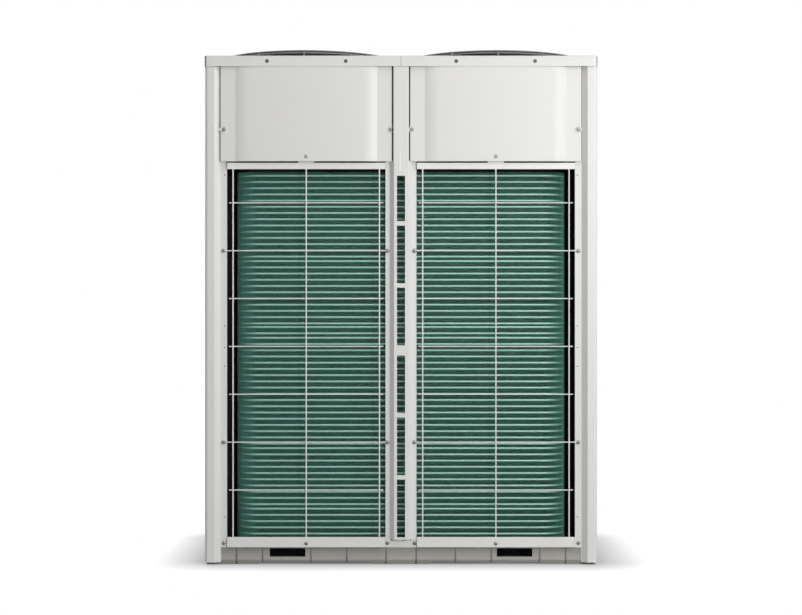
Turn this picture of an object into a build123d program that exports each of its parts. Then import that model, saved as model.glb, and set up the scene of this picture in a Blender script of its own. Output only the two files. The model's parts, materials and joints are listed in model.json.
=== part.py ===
"""Twin-fan outdoor unit of an air conditioner: a sheet-metal cabinet round a U-shaped finned coil.

Millimetres, +Z up, origin on the ground under the middle of the cabinet. The coil side with the
wire guards and the ladder column looks along -Y, the service side along +Y.
"""
import os
from math import atan2, cos, degrees, radians, sin

from build123d import *

os.makedirs("parts", exist_ok=True)

# Overall sizes
width = 1290.0              # over the top covers
depth = 765.0               # over the top covers
cover_top = 1670.0          # ground to the top of the covers

# Sheet and clearances
sheet = 1.5                 # cabinet sheet
base_sheet = 2.5            # base rails
seat = 0.3                  # clearance where one piece lies on another
bend = 2.0                  # outer radius of a folded edge

# Top covers
cover_lip = 34.5            # height of the turned-down edge
cover_side_lap = 2.0        # covers beyond the posts, left and right
cover_face_lap = 4.0        # covers beyond the posts, rear and front
cover_joint = 1.0           # gap between the two covers
cover_corner = 12.0         # radius of the upright corners
cover_edge = 2.0            # bevel of the top edge

# Corner posts
post_face = 31.5            # width of the outer face
post_flank = 18.0           # run of the sloping flank
post_step = 16.0            # depth from the outer face to the flange
post_flange = 22.0          # width of the flange round an opening
post_corner = 10.0          # outer corner radius
post_foot = 9.0             # bottom of the posts above the ground

# Centre columns
column_face = 46.0          # width of the outer face
column_flank = 14.5         # run of each sloping flank
column_flange = 13.5        # width of each flange
column_shoe = 84.0          # level where the flat foot plate ends
window_width = 26.4         # ladder windows
window_bar = 14.5           # bar between two windows
window_break = 33.0         # broad bar between the two halves of the ladder
window_share = 0.5308       # share of the ladder up to the end of the broad bar
window_first = 92.0         # sill of the lowest window
window_drop = 22.0          # top of the highest window below the upper guard rail
windows_per_half = 3

# Base
base_height = 56.0          # ground to the top of the base rails
base_flange = 28.0          # top flange that carries the pan
foot_flange = 45.0          # bottom flange that stands on the ground
foot_slope = 12.0           # how far the lower edge of the rail draws in
foot_slope_top = 16.0       # level where it starts to draw in
foot_relief = 6.5           # height of the rail's edge between the feet
relief_ramp = 13.0          # run of the slope at each end of a relief
corner_foot = 169.5         # length of the corner feet
centre_foot = 182.0         # width of the middle foot
foot_end = 2.5              # corner feet inside the posts' outer face
lift_slot_gap = 39.5        # lifting slots from the corner feet
lift_slot_width = 117.0
lift_slot_sill = 26.0
groove_width = 4.0
groove_depth = 1.8
foot_groove = 99.5          # groove in a corner foot, from the foot's end
slot_groove_out = 24.0      # grooves beside a lifting slot
slot_groove_in = 18.0
bay_groove = 178.5          # grooves on each side of the middle foot
column_groove = 49.5
notch_width = 9.0           # notch at the foot of each groove
notch_height = 10.0
anchor_inset = 90.5         # bolt holes in the corner feet, from the foot's end
anchor_radius = 7.5
pan_sheet = 2.0
pan_rim = 32.0              # height of the pan, rim included

# Openings in the sides
bay_bottom = 92.0           # top of the lower guard rail
fan_bay = 371.0             # upper guard rail below the covers
lower_rail = 34.0           # height of the lower guard rail
upper_rail = 21.0           # height of the upper guard rail
panel_gap = 4.4             # gap between the upper guard rail and the upper panel

# Upper panels and service panels
panel_stand = 10.0          # panel face in front of the flanges
panel_reveal = 1.5          # gap between a panel's edge and the post's flank
panel_lap = 7.4             # gap between a panel's edge and the column's face
bulge_outer = 48.5          # flat margin beside the bulge at the posts
bulge_inner = 47.5          # flat margin beside the bulge at the column
bulge_room = 0.5            # gap between the bulge and the cover's lip
bulge_shoulder = 42.0       # run of the curved shoulders
bulge_crown = 1.5           # rise of the crown between the shoulders
grip_width = 130.0          # grip recess of a service panel
grip_height = 42.0
grip_depth = 7.5
grip_level = 820.0

# Wire guards
upright_wire = 5.0          # thickness of the upright wires
cross_wire = 4.0            # thickness of the level wires
weld = 0.8                  # how far crossing wires sink into each other
wire_sides = 4
upright_inset = 20.0        # outer uprights from the edge of the opening
wire_tail = 13.0            # level wires beyond the outer uprights
cross_first = 245.5         # lowest level wire
cross_drop = 110.3          # highest level wire below the upper guard rail
cross_count = 7
pad_width = 11.0            # flattened wire ends under the screws
wire_cover = 6.0            # wire ends short of the rails' far edge
rail_end = 1.5              # rails short of the edges of the opening
rail_tab_width = 52.0       # tab on the upper rail behind the panel
rail_tab_rise = 22.0

# Coil
coil_setback = 58.0         # coil face behind the covers' face
coil_side_gap = 79.0        # side runs of the coil behind the posts' flanges
coil_depth = 44.0
coil_bend = 80.0            # outer radius of the bends
bend_flats = 3              # flats in each bend
coil_overlap = 10.0         # coil ends behind the front posts' flanges
coil_split = 785.5          # level where the two coil halves meet
coil_cover = 13.0           # coil top above the opening
tube_pitch = 20.6           # between the tube rows that show on the coil's face
circuit_gap = 15.0          # between the last row of a circuit and the first of the next
lower_row_counts = (2, 18, 10, 6)    # rows in each circuit of a half, from its top
upper_row_counts = (15, 11)
lower_first = 5.5           # first row below the top of its half
upper_first = 10.4
fin_dip = 7.0               # how far the fins draw in between two rows

# Cross rails under the fans
cross_rail_rise = 46.0      # height over the top of the opening
cross_rail_drop = 2.0       # lower edge over the top of the opening
cross_rail_shelf = 25.0     # shelf that carries the motor brackets

# Fans
throat_margin = 39.5        # inside of a bell mouth to the edges of its cover
bell_wall = 3.0
bell_flange = 10.0          # flange that lies on the cover
bell_sides = 24             # flats round a bell mouth
bell_length = 150.0         # straight throat below the cover
flare_height = 40.0         # flared inlet below the throat
flare_run = 20.0
tip_gap = 6.0               # fan tip to throat
blade_count = 3
blade_sheet = 5.0
blade_chord = 240.0
blade_pitch = 26.0          # degrees
blade_camber = 22.0
blade_round = 30.0          # rounded corners of the blade's outline
hub_radius = 88.0
hub_height = 92.0
hub_crown = 16.0            # bevelled shoulder of the hub
fan_drop = 100.0            # middle of the fan below the covers
motor_radius = 76.0
motor_height = 96.0
round_sides = 24            # flats round the hubs and the motors
motor_flange = 4.0
shaft_radius = 8.0
bracket_width = 32.0
bracket_height = 24.0
bracket_sheet = 2.0
bracket_gauge = 150.0       # distance between the two bars of a bracket

# Fan guards
guard_rise = 30.0           # top of the guard above the covers
guard_overlap = 22.0        # guard beyond the throat
guard_bar = 4.0
guard_weld = 0.5            # how far the legs sink into the rim's ring
guard_spokes = 12
guard_sides = 24            # straight lengths in each ring
guard_rings = 3             # rings on top, the outer one included
rim_ring = 11.0             # ring on the guard's upright rim, above the covers
guard_cap = 62.0            # radius of the middle plate

# Planes and levels that the pieces share
post_x = width / 2 - cover_side_lap
post_y = depth / 2 - cover_face_lap
flange_x = post_x - post_step
flange_y = post_y - post_step
rim_x = flange_x - sheet
rim_y = flange_y - sheet
post_leaf = post_face + post_flank + post_flange
bay_out = post_x - post_leaf
bay_in = column_face / 2 + column_flank + column_flange
side_bay = post_y - post_leaf
under_cover = cover_top - sheet
bay_top = cover_top - fan_bay
window_top = bay_top - window_drop
window_middle = window_first + window_share * (window_top - window_first)
window_run = window_middle - window_break - window_first
window_height = (window_run + window_bar) / windows_per_half - window_bar
cross_pitch = (bay_top - cross_drop - cross_first) / (cross_count - 1)
flange_bottom = bay_bottom - lower_rail
rail_top = bay_top + upper_rail
panel_bottom = rail_top + panel_gap
panel_top = under_cover - seat
cross_top = bay_top + cross_rail_rise
pan_floor = base_height + pan_sheet
fan_x = width / 4
fan_level = cover_top - fan_drop
throat_radius = fan_x - throat_margin

# Outer plane of the flanges on each side: x along the side, y up, z outward
rear_face = Plane(origin=(0, -flange_y, 0), x_dir=(1, 0, 0), z_dir=(0, -1, 0))
front_face = Plane(origin=(0, flange_y, 0), x_dir=(-1, 0, 0), z_dir=(0, 1, 0))
left_face = Plane(origin=(-flange_x, 0, 0), x_dir=(0, -1, 0), z_dir=(-1, 0, 0))
right_face = Plane(origin=(flange_x, 0, 0), x_dir=(0, 1, 0), z_dir=(1, 0, 0))


def plan(face, level):
    """Level sketch plane of one side: x along the side, y outward, extruded downward."""
    origin = (face.origin.X, face.origin.Y, level)
    return Plane(origin=origin, x_dir=face.x_dir, z_dir=(0, 0, -1))


def across(face, place):
    """Upright sketch plane square to one side: x up, y outward, extruded along the side."""
    return Plane(origin=face.from_local_coords((place, 0, 0)), x_dir=face.y_dir, z_dir=face.x_dir)


def save(piece, name):
    """Label a finished piece and write it to its own file."""
    piece.part.label = name
    export_step(piece.part, f"parts/{name}.step")
    return piece


# Base pan: a tray on the base rails whose rim takes the screws of the posts and guards
with BuildPart() as base_pan:
    with BuildSketch(Plane.XY.offset(base_height)):
        Rectangle(2 * rim_x, 2 * rim_y)
    extrude(amount=pan_rim)
    with BuildSketch(Plane.XY.offset(pan_floor)):
        Rectangle(2 * (rim_x - pan_sheet), 2 * (rim_y - pan_sheet))
    extrude(amount=pan_rim, mode=Mode.SUBTRACT)
save(base_pan, "base_pan")


def rail_section():
    """Folded section of a base rail, x up and y inward, drawn in a line context."""
    Polyline(
        (base_height, base_flange),
        (base_height, 0),
        (foot_slope_top, 0),
        (0, foot_slope),
        (0, foot_slope + foot_flange),
    )
    offset(amount=base_sheet, side=Side.RIGHT, kind=Kind.INTERSECTION)


rail_depth = foot_slope + foot_flange
foot_x = post_x - foot_end
corner_foot_end = foot_x - corner_foot
lift_slot_out = corner_foot_end - lift_slot_gap
lift_slot_in = lift_slot_out - lift_slot_width
groove_places = (
    column_groove,
    bay_groove,
    lift_slot_in - slot_groove_in,
    lift_slot_out + slot_groove_out,
    foot_x - foot_groove,
)
anchor_x = foot_x - anchor_inset
anchor_y = rim_y - foot_slope - foot_flange / 2


def face_base_rail(name, face):
    """Base rail under the coil side or the service side, with feet, slots and grooves."""
    with BuildPart() as rail:
        start = across(face, -foot_x)
        inward = Plane(origin=start.origin - start.y_dir * sheet, x_dir=(0, 0, 1), z_dir=-start.z_dir)
        with BuildSketch(inward):
            with BuildLine():
                rail_section()
            make_face()
        extrude(amount=-2 * foot_x)
        # above the posts' foot level the rail ends at the flanges
        with BuildSketch(face):
            with Locations((0, post_foot - seat)):
                Rectangle(2 * foot_x, base_height, align=(Align.CENTER, Align.MIN))
                Rectangle(2 * rim_x, base_height, align=(Align.CENTER, Align.MIN), mode=Mode.SUBTRACT)
        extrude(amount=-rail_depth - 2 * sheet, mode=Mode.SUBTRACT)
        # raised edge between the feet
        with BuildSketch(face):
            for side in (-1, 1):
                with BuildLine():
                    Polyline(
                        (side * corner_foot_end, 0),
                        (side * (corner_foot_end - relief_ramp), foot_relief),
                        (side * (centre_foot / 2 + relief_ramp), foot_relief),
                        (side * centre_foot / 2, 0),
                        close=True,
                    )
                make_face()
        extrude(amount=-rail_depth - 2 * sheet, mode=Mode.SUBTRACT)
        # lifting slots
        with BuildSketch(face):
            for side in (-1, 1):
                with Locations((side * (lift_slot_in + lift_slot_width / 2), lift_slot_sill)):
                    Rectangle(
                        lift_slot_width,
                        base_height - base_sheet - lift_slot_sill,
                        align=(Align.CENTER, Align.MIN),
                    )
        extrude(amount=-sheet - 2 * base_sheet, mode=Mode.SUBTRACT)
        # upright grooves with a notch in the lower edge
        with BuildSketch(face):
            for side in (-1, 1):
                for place in groove_places:
                    with Locations((side * place, 0)):
                        Rectangle(groove_width, base_height, align=(Align.CENTER, Align.MIN))
        extrude(amount=-sheet - groove_depth, mode=Mode.SUBTRACT)
        with BuildSketch(face):
            for side in (-1, 1):
                for place in groove_places:
                    with Locations((side * place, 0)):
                        Triangle(c=notch_width, a=notch_height, b=notch_height, align=(Align.CENTER, Align.MIN))
        extrude(amount=-sheet - foot_slope - base_sheet, mode=Mode.SUBTRACT)
        # anchor bolt holes in the corner feet and the middle foot
        with BuildSketch(plan(face, base_sheet + seat)):
            with Locations(*[(place, anchor_y - flange_y) for place in (-anchor_x, 0, anchor_x)]):
                Circle(anchor_radius)
        extrude(amount=2 * base_sheet, mode=Mode.SUBTRACT)
    return save(rail, name)


face_base_rail("rear_base_rail", rear_face)
face_base_rail("front_base_rail", front_face)

side_rail_half = rim_y - rail_depth - seat


def side_base_rail(name, face):
    """Plain base rail under a side, raised off the ground between the corner feet."""
    with BuildPart() as rail:
        start = across(face, -side_rail_half)
        inward = Plane(origin=start.origin - start.y_dir * sheet, x_dir=(0, 0, 1), z_dir=-start.z_dir)
        with BuildSketch(inward):
            with BuildLine():
                rail_section()
            make_face()
            with Locations((0, 0)):
                Rectangle(foot_relief, rail_depth, align=Align.MIN, mode=Mode.SUBTRACT)
        extrude(amount=-2 * side_rail_half)
    return save(rail, name)


side_base_rail("left_base_rail", left_face)
side_base_rail("right_base_rail", right_face)

# Corner post of the front right corner: flange, flank, face, rounded corner and back again
with BuildPart() as front_right_post:
    with BuildSketch(Plane.XY.offset(post_foot)):
        with BuildLine():
            FilletPolyline(
                (flange_x, side_bay),
                (flange_x, side_bay + post_flange),
                (post_x, side_bay + post_flange + post_flank),
                (post_x, post_y),
                (bay_out + post_flange + post_flank, post_y),
                (bay_out + post_flange, flange_y),
                (bay_out, flange_y),
                radius=(bend, bend, post_corner, bend, bend),
            )
            offset(amount=sheet, side=Side.LEFT, kind=Kind.INTERSECTION)
        make_face()
    extrude(amount=under_cover - post_foot)
    # the flanges stop at the lower guard rails
    with BuildSketch(Plane.XY.offset(post_foot)):
        with Locations((bay_out, flange_y)):
            Rectangle(2 * post_flange - 2 * bend, 4 * sheet)
        with Locations((flange_x, side_bay)):
            Rectangle(4 * sheet, 2 * post_flange - 2 * bend)
    extrude(amount=flange_bottom - post_foot, mode=Mode.SUBTRACT)
save(front_right_post, "front_right_post")

with BuildPart() as front_left_post:
    mirror(front_right_post.part, about=Plane.YZ)
save(front_left_post, "front_left_post")

with BuildPart() as rear_right_post:
    mirror(front_right_post.part, about=Plane.XZ)
save(rear_right_post, "rear_right_post")

with BuildPart() as rear_left_post:
    mirror(rear_right_post.part, about=Plane.YZ)
save(rear_left_post, "rear_left_post")


hat_angle = degrees(atan2(post_step, column_flank))


def column_outline():
    """Outer line of a centre column, x along the side and y outward."""
    Polyline(
        (-bay_in, 0),
        (-bay_in + column_flange, 0),
        (-column_face / 2, post_step),
        (column_face / 2, post_step),
        (bay_in - column_flange, 0),
        (bay_in, 0),
    )


def centre_column(name, face, windows):
    """Hat-section column between two bays, with a flat foot plate and a ladder of windows."""
    with BuildPart() as column:
        with BuildSketch(plan(face, under_cover)):
            with BuildLine():
                column_outline()
                offset(amount=sheet, side=Side.RIGHT, kind=Kind.INTERSECTION)
            make_face()
        extrude(amount=under_cover - column_shoe)
        with BuildSketch(plan(face, column_shoe + sheet)):
            Trapezoid(column_face + 2 * column_flank, post_step, hat_angle, align=(Align.CENTER, Align.MIN))
        extrude(amount=sheet)
        with BuildSketch(face):
            with Locations((0, flange_bottom)):
                Rectangle(2 * bay_in, column_shoe + sheet - flange_bottom, align=(Align.CENTER, Align.MIN))
        extrude(amount=-sheet)
        if windows:
            with BuildSketch(face.offset(post_step)):
                for first, last in ((window_first, window_middle), (window_middle, window_top)):
                    for step in range(windows_per_half):
                        sill = first + step * (window_height + window_bar)
                        top = min(sill + window_height, last)
                        with Locations((0, (sill + top) / 2)):
                            Rectangle(window_width, top - sill)
            extrude(amount=-2 * sheet, mode=Mode.SUBTRACT)
    return save(column, name)


centre_column("rear_column", rear_face, True)
centre_column("front_column", front_face, False)


def cross_rail(name, face, half_length):
    """Angle rail inside the posts at the top of the coil; its shelf carries the motor brackets."""
    bottom = bay_top + cross_rail_drop
    with BuildPart() as rail:
        with BuildSketch(across(face, -half_length)):
            with BuildLine():
                Polyline((bottom, -sheet), (cross_top, -sheet), (cross_top, -sheet - cross_rail_shelf))
                offset(amount=sheet, side=Side.RIGHT, kind=Kind.INTERSECTION)
            make_face()
        extrude(amount=2 * half_length)
    return save(rail, name)


cross_rail("rear_cross_rail", rear_face, rim_x)
cross_rail("front_cross_rail", front_face, rim_x)
cross_rail("left_cross_rail", left_face, rim_y - sheet - cross_rail_shelf - seat)
cross_rail("right_cross_rail", right_face, rim_y - sheet - cross_rail_shelf - seat)


def upper_panel(name, face, lap, low, high, low_margin, high_margin, folds):
    """Panel above a bay: flat margins, curved shoulders and a slightly crowned bulge."""
    rise = post_step + lap - sheet - bulge_room
    low_foot, high_foot = low + low_margin, high - high_margin
    shoulder = rise - bulge_crown
    with BuildPart() as panel:
        with BuildSketch(plan(face, panel_top)):
            with BuildLine():
                crown = ThreePointArc(
                    (low_foot + bulge_shoulder, shoulder),
                    ((low_foot + high_foot) / 2, rise),
                    (high_foot - bulge_shoulder, shoulder),
                )
                TangentArc(crown @ 0, (low_foot, panel_stand), tangent=crown % 0 * -1)
                TangentArc(crown @ 1, (high_foot, panel_stand), tangent=crown % 1)
                Line((low_foot, panel_stand), (low, panel_stand))
                Line((high_foot, panel_stand), (high, panel_stand))
                if folds[0]:
                    Line((low, panel_stand), (low, seat))
                if folds[1]:
                    Line((high, panel_stand), (high, seat))
                offset(amount=sheet, side=Side.RIGHT, kind=Kind.INTERSECTION)
            make_face()
        extrude(amount=panel_top - panel_bottom)
    return save(panel, name)


panel_out = bay_out + post_flange - panel_reveal
panel_in = column_face / 2 + panel_lap
side_panel_half = side_bay + post_flange - panel_reveal
low_bay = (cover_face_lap, -panel_out, -panel_in, bulge_outer, bulge_inner, (True, False))
high_bay = (cover_face_lap, panel_in, panel_out, bulge_inner, bulge_outer, (False, True))
whole_side = (cover_side_lap, -side_panel_half, side_panel_half, bulge_outer, bulge_outer, (True, True))
upper_panel("rear_left_upper_panel", rear_face, *low_bay)
upper_panel("rear_right_upper_panel", rear_face, *high_bay)
upper_panel("front_right_upper_panel", front_face, *low_bay)
upper_panel("front_left_upper_panel", front_face, *high_bay)
upper_panel("left_upper_panel", left_face, *whole_side)
upper_panel("right_upper_panel", right_face, *whole_side)


def service_panel(name, face, low, high, folds):
    """Flat lift-off panel of the service side with a grip recess."""
    middle = (low + high) / 2
    with BuildPart() as panel:
        with BuildSketch(plan(face, rail_top)):
            with BuildLine():
                Line((low, panel_stand), (high, panel_stand))
                if folds[0]:
                    Line((low, panel_stand), (low, seat))
                if folds[1]:
                    Line((high, panel_stand), (high, seat))
                offset(amount=sheet, side=Side.RIGHT, kind=Kind.INTERSECTION)
            make_face()
        extrude(amount=rail_top - flange_bottom)
        with BuildSketch(face.offset(panel_stand)):
            with Locations((middle, grip_level)):
                Rectangle(grip_width + 2 * sheet, grip_height + 2 * sheet)
        extrude(amount=-grip_depth - sheet)
        with BuildSketch(face.offset(panel_stand)):
            with Locations((middle, grip_level)):
                Rectangle(grip_width, grip_height)
        extrude(amount=-grip_depth, mode=Mode.SUBTRACT)
    return save(panel, name)


service_panel("front_right_service_panel", front_face, -panel_out, -panel_in, (True, False))
service_panel("front_left_service_panel", front_face, panel_in, panel_out, (False, True))


def wire_guard(name, face, low, high, low_pad, high_pad):
    """Welded wire guard over a bay, between two folded rails."""
    cross_plane = seat + cross_wire / 2
    upright_plane = cross_plane + cross_wire / 2 + upright_wire / 2 - weld
    rail_back = upright_plane + upright_wire / 2 - weld
    rail_front = rail_back + sheet
    rail_seat = seat - sheet
    uprights = (low + upright_inset, (low + high) / 2, high - upright_inset)
    levels = [cross_first + step * cross_pitch for step in range(cross_count)]
    fixed = (levels[1], levels[-2])
    length = high - low - 2 * rail_end
    with BuildPart() as guard:
        with BuildSketch(plan(face, rail_top - wire_cover)):
            with Locations(*[(place, upright_plane) for place in uprights]):
                RegularPolygon(upright_wire / 2, wire_sides)
        extrude(amount=rail_top - flange_bottom - 2 * wire_cover)
        with BuildSketch(across(face, uprights[0] - wire_tail)):
            for level in levels:
                if level not in fixed:
                    with Locations((level, cross_plane)):
                        RegularPolygon(cross_wire / 2, wire_sides)
        extrude(amount=uprights[2] - uprights[0] + 2 * wire_tail)
        with BuildSketch(across(face, low_pad)):
            with Locations(*[(level, cross_plane) for level in fixed]):
                RegularPolygon(cross_wire / 2, wire_sides)
        extrude(amount=high_pad - low_pad)
        with BuildSketch(face.offset(seat)):
            with Locations(*[(place, level) for place in (low_pad, high_pad) for level in fixed]):
                Rectangle(pad_width, pad_width)
        extrude(amount=cross_wire)
        with BuildSketch(across(face, low + rail_end)):
            with BuildLine():
                Polyline((flange_bottom, rail_seat), (flange_bottom, rail_front), (bay_bottom, rail_front))
                offset(amount=sheet, side=Side.RIGHT, kind=Kind.INTERSECTION)
            make_face()
            with BuildLine():
                Polyline((rail_top, rail_seat), (rail_top, rail_front), (bay_top, rail_front))
                offset(amount=sheet, side=Side.LEFT, kind=Kind.INTERSECTION)
            make_face()
        extrude(amount=length)
        with BuildSketch(face.offset(rail_back)):
            with Locations((uprights[1], rail_top - sheet)):
                Rectangle(rail_tab_width, rail_tab_rise + sheet, align=(Align.CENTER, Align.MIN))
        extrude(amount=sheet)
    return save(guard, name)


post_pad = post_flange / 2
column_pad = column_flange / 2
wire_guard("rear_left_wire_guard", rear_face, -bay_out, -bay_in, -bay_out - post_pad, -bay_in + column_pad)
wire_guard("rear_right_wire_guard", rear_face, bay_in, bay_out, bay_in - column_pad, bay_out + post_pad)
wire_guard("left_wire_guard", left_face, -side_bay, side_bay, -side_bay - post_pad, side_bay + post_pad)
wire_guard("right_wire_guard", right_face, -side_bay, side_bay, -side_bay - post_pad, side_bay + post_pad)

coil_x = flange_x - coil_side_gap
coil_y = depth / 2 - coil_setback
coil_end = side_bay + coil_overlap

# Path of the coil's outer face in plan: down the left side, along the rear, up the right side
bend_turns = [radians(90 * flat / bend_flats) for flat in range(bend_flats + 1)]
right_bend = [
    (coil_x - coil_bend * (1 - sin(turn)), -coil_y + coil_bend * (1 - cos(turn)))
    for turn in bend_turns
]
left_bend = [(-x, y) for x, y in reversed(right_bend)]


def tube_levels(bottom, top, first, row_counts):
    """Levels of the tube rows on one half of the coil, from its top down."""
    levels = []
    level = top - first
    for rows in row_counts:
        levels += [level - row * tube_pitch for row in range(rows)]
        level = levels[-1] - circuit_gap
    return [level for level in levels if level > bottom + lower_first]


def dip(room):
    """Place of the fins' edge halfway between two rows, from the coil's face."""
    return -fin_dip * min(room / tube_pitch, 1)


def coil_half(name, bottom, top, first, row_counts):
    """One half of the finned coil: a slab bent round two corners, with a ridge at each tube row."""
    levels = tube_levels(bottom, top, first, row_counts)
    face = [(dip(2 * (top - levels[0])), top)]
    for upper, lower in zip(levels, levels[1:]):
        face += [(0, upper), (dip(upper - lower), (upper + lower) / 2)]
    face += [(0, levels[-1]), (dip(2 * (levels[-1] - bottom)), bottom)]
    with BuildPart() as coil:
        with BuildLine():
            Polyline((-coil_x, coil_end), *left_bend, *right_bend, (coil_x, coil_end))
        with BuildSketch(Plane(origin=(-coil_x, coil_end, 0), x_dir=(-1, 0, 0), z_dir=(0, 1, 0))):
            with BuildLine():
                Polyline(*face, (-coil_depth, bottom), (-coil_depth, top), close=True)
            make_face()
        sweep(transition=Transition.RIGHT)
    return save(coil, name)


coil_half("lower_coil", pan_floor + seat, coil_split, lower_first, lower_row_counts)
coil_half("upper_coil", coil_split + seat, bay_top + coil_cover, upper_first, upper_row_counts)

bell_outer = throat_radius + bell_wall
cover_hole = bell_outer + seat


def top_cover(name, side):
    """Cover over one fan: a shallow tray turned down on three sides, with the fan's round hole."""
    middle = side * (width / 2 + cover_joint / 2) / 2
    span = (width - cover_joint) / 2
    with BuildPart() as cover:
        with BuildSketch(Plane.XY.offset(cover_top - cover_lip)):
            with Locations((middle, 0)):
                Rectangle(span, depth)
        extrude(amount=cover_lip)
        outer_corners = cover.edges().filter_by(Axis.Z).sort_by(Axis.X)
        fillet(outer_corners[:2] if side < 0 else outer_corners[-2:], cover_corner)
        top_edges = cover.faces().sort_by(Axis.Z)[-1].edges()
        inner_edge = top_edges.sort_by(lambda edge: abs(edge.center().X))[0]
        chamfer([edge for edge in top_edges if edge != inner_edge], cover_edge)
        with BuildSketch(Plane.XY.offset(under_cover)):
            with Locations((middle - side * sheet, 0)):
                Rectangle(span, depth - 2 * sheet)
        extrude(amount=-cover_lip, mode=Mode.SUBTRACT)
        with BuildSketch(Plane.XY.offset(cover_top)):
            with Locations((side * fan_x, 0)):
                RegularPolygon(cover_hole, bell_sides)
        extrude(amount=-2 * sheet, mode=Mode.SUBTRACT)
    return save(cover, name)


def bell_mouth(name, side):
    """Moulded ring round a fan: flared inlet, straight throat and a flange that lies on the cover."""
    throat_end = Plane.XY.offset(cover_top - bell_length).move(Location((side * fan_x, 0, 0)))
    flange_seat = Plane.XY.offset(cover_top).move(Location((side * fan_x, 0, 0)))
    flare_angle = degrees(atan2(flare_run, flare_height))
    with BuildPart() as bell:
        with BuildSketch(flange_seat):
            RegularPolygon(bell_outer + bell_flange, bell_sides)
        extrude(amount=bell_wall)
        for radius, mode in ((bell_outer, Mode.ADD), (throat_radius, Mode.SUBTRACT)):
            with BuildSketch(throat_end):
                RegularPolygon(radius, bell_sides)
            extrude(amount=bell_length + bell_wall, mode=mode)
            with BuildSketch(throat_end):
                RegularPolygon(radius, bell_sides)
            extrude(amount=-flare_height, taper=-flare_angle, mode=mode)
    return save(bell, name)


guard_radius = throat_radius + guard_overlap
guard_pitch = (guard_radius - guard_cap) / guard_rings
grille_bottom = cover_top + guard_rise - guard_bar
leg_radius = guard_radius - guard_bar * 1.5 + guard_weld


def guard_ring(radius):
    """One ring of a fan guard in straight lengths, drawn in a sketch context."""
    RegularPolygon(radius, guard_sides)
    RegularPolygon(radius - guard_bar, guard_sides, mode=Mode.SUBTRACT)


def fan_guard(name, side):
    """Flat top of a fan's dark wire guard: rings welded to spokes round a middle plate."""
    with BuildPart() as guard:
        with BuildSketch(Plane.XY.offset(grille_bottom).move(Location((side * fan_x, 0, 0)))):
            for ring in range(guard_rings):
                guard_ring(guard_radius - ring * guard_pitch)
            with PolarLocations(0, guard_spokes):
                Rectangle(guard_radius - guard_bar, guard_bar, align=(Align.MIN, Align.CENTER))
            RegularPolygon(guard_cap, guard_sides)
        extrude(amount=guard_bar)
    return save(guard, name)


def guard_rim(name, side):
    """Upright rim of a fan's wire guard: a ring welded to legs that stand on the cover under the spokes."""
    centre = Location((side * fan_x, 0, 0))
    foot = cover_top + seat
    with BuildPart() as rim:
        with BuildSketch(Plane.XY.offset(cover_top + rim_ring).move(centre)):
            guard_ring(guard_radius)
        extrude(amount=guard_bar)
        with BuildSketch(Plane.XY.offset(foot).move(centre)):
            with PolarLocations(leg_radius, guard_spokes):
                Rectangle(guard_bar, guard_bar)
        extrude(amount=grille_bottom - seat - foot)
    return save(rim, name)


hub_bottom = fan_level - hub_height / 2
shaft_top = fan_level + hub_height / 2 - hub_crown
bar_top = cross_top + bracket_height
motor_top = bar_top + motor_flange + motor_height
tip_radius = throat_radius - tip_gap


# One fan blade: a cambered sheet set at its pitch and cut to a swept outline with a round tip
blade_rise = (0, cos(radians(blade_pitch)), sin(radians(blade_pitch)))
with BuildPart() as blade:
    with BuildSketch(Plane(origin=(hub_radius - blade_sheet, 0, fan_level), x_dir=blade_rise, z_dir=(1, 0, 0))):
        with BuildLine():
            back = ThreePointArc((-blade_chord / 2, 0), (0, blade_camber), (blade_chord / 2, 0))
            offset(back, amount=blade_sheet, side=Side.RIGHT, kind=Kind.INTERSECTION)
        make_face()
    extrude(amount=tip_radius - hub_radius + blade_sheet)
    with BuildSketch(Plane.XY.offset(fan_level - blade_chord)):
        Circle(tip_radius)
        with BuildLine():
            FilletPolyline(
                (hub_radius / 2, -hub_radius),
                (hub_radius, -hub_radius),
                (tip_radius, -blade_chord / 2),
                (2 * tip_radius, -blade_chord / 2),
                (2 * tip_radius, blade_chord / 2),
                (tip_radius, blade_chord / 3),
                (hub_radius / 2, hub_radius),
                radius=blade_round,
                close=True,
            )
        make_face(mode=Mode.INTERSECT)
    extrude(amount=2 * blade_chord, mode=Mode.INTERSECT)


def fan(name, side):
    """Axial fan: a moulded hub bored for the shaft, and the blades round it."""
    with BuildPart() as rotor:
        with BuildSketch(Plane.XY.offset(hub_bottom)):
            RegularPolygon(hub_radius, round_sides)
        extrude(amount=hub_height)
        chamfer(rotor.faces().sort_by(Axis.Z)[-1].edges(), hub_crown)
        with BuildSketch(Plane.XY.offset(hub_bottom)):
            Circle(shaft_radius + seat)
        extrude(amount=shaft_top + seat - hub_bottom, mode=Mode.SUBTRACT)
        with PolarLocations(0, blade_count):
            add(blade.part)
    with BuildPart() as placed:
        with Locations((side * fan_x, 0, 0)):
            add(rotor.part)
    return save(placed, name)


def fan_motor(name, side):
    """Fan motor on its square foot plate, with the shaft that carries the fan."""
    with BuildPart() as motor:
        with BuildSketch(Plane.XY.offset(bar_top).move(Location((side * fan_x, 0, 0)))):
            Rectangle(bracket_gauge + bracket_width, bracket_gauge)
        extrude(amount=motor_flange)
        with BuildSketch(Plane.XY.offset(bar_top + motor_flange).move(Location((side * fan_x, 0, 0)))):
            RegularPolygon(motor_radius, round_sides)
        extrude(amount=motor_height)
        chamfer(motor.faces().sort_by(Axis.Z)[-1].edges(), motor_flange * 2)
        with BuildSketch(Plane.XY.offset(motor_top).move(Location((side * fan_x, 0, 0)))):
            Circle(shaft_radius)
        extrude(amount=shaft_top - motor_top)
    return save(motor, name)


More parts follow.
